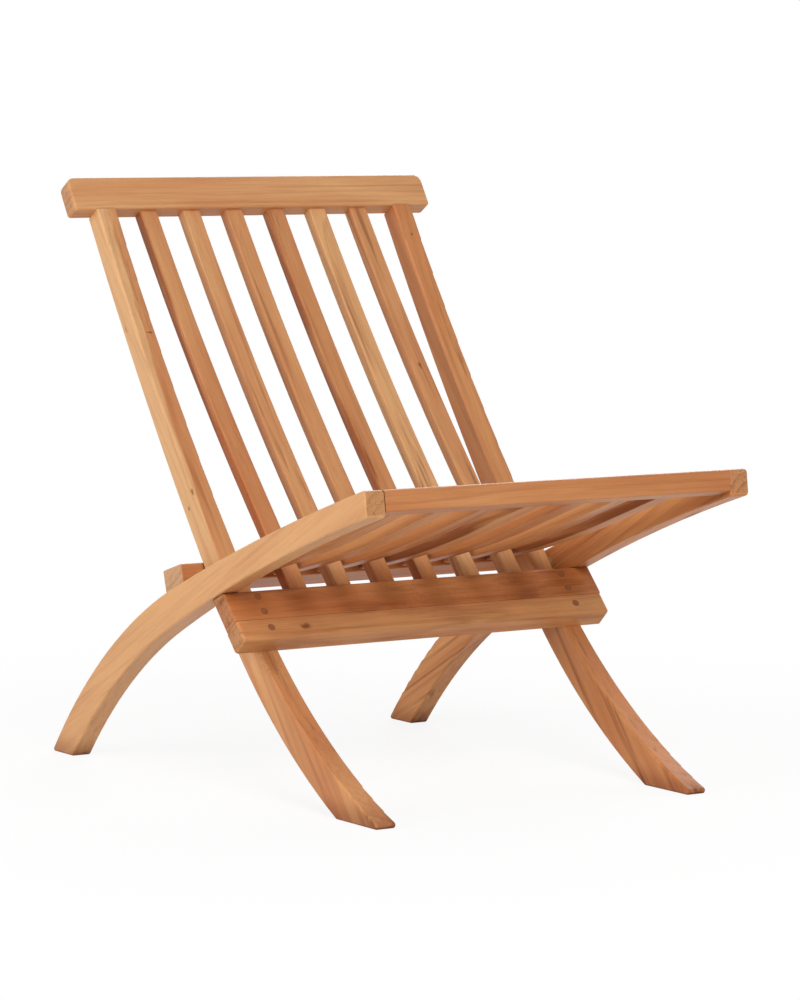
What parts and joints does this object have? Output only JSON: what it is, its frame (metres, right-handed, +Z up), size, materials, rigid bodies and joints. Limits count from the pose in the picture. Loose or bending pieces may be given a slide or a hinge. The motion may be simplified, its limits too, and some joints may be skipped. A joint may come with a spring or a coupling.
{
  "type": "folding teak chair",
  "caption": "Folding outdoor lounge chair of teak slats, with a curved seat frame that swings through a curved back frame on two side pivots.",
  "frame": {"origin": "centre of the chair's footprint, on the floor under the open chair", "axes": "+Z up, -Y the front, towards which a sitter faces, and X across the chair with +X on the sitter's left"},
  "size_m": [0.57, 0.7926, 0.7735],
  "materials": {
    "teak_frame": "oiled teak, planed, edges rounded",
    "teak_slat": "oiled teak, planed, edges rounded",
    "teak_bar": "oiled teak, planed, edges rounded",
    "plug": "teak plugs, glued in and sanded off",
    "dowel": "turned hardwood",
    "screw": "stainless",
    "pin": "stainless",
    "spacer": "satin"
  },
  "bodies": {
    "back_frame": {"top_rail": "teak_frame", "back_stile_left": "teak_frame", "back_stile_right": "teak_frame", "back_slat_1": "teak_slat", "back_slat_2": "teak_slat", "back_slat_3": "teak_slat", "back_slat_4": "teak_slat", "back_slat_5": "teak_slat", "back_slat_6": "teak_slat", "front_crossbar_upper": "teak_bar", "front_crossbar_lower": "teak_bar", "crossbar_screws": "screw", "crossbar_plugs": "plug"},
    "seat_frame": {"seat_rail_left": "teak_frame", "seat_rail_right": "teak_frame", "seat_front_rail": "teak_frame", "seat_rear_bar": "teak_bar", "seat_slat_1": "teak_slat", "seat_slat_2": "teak_slat", "seat_slat_3": "teak_slat", "seat_slat_4": "teak_slat", "seat_slat_5": "teak_slat", "seat_slat_6": "teak_slat", "seat_slat_7": "teak_slat", "front_rail_dowels": "dowel", "rear_bar_screws": "screw", "seat_plugs": "plug", "pivot_pin_left": "pin", "pivot_pin_right": "pin", "pivot_spacer_left": "spacer", "pivot_spacer_right": "spacer"}
  },
  "joints": [
    {"name": "fold", "type": "hinge", "parent": "back_frame", "child": "seat_frame", "pos_m": [0, 0.00359, 0.2585], "axis": [-1, 0, 0], "range_deg": [0, 92]}
  ]
}
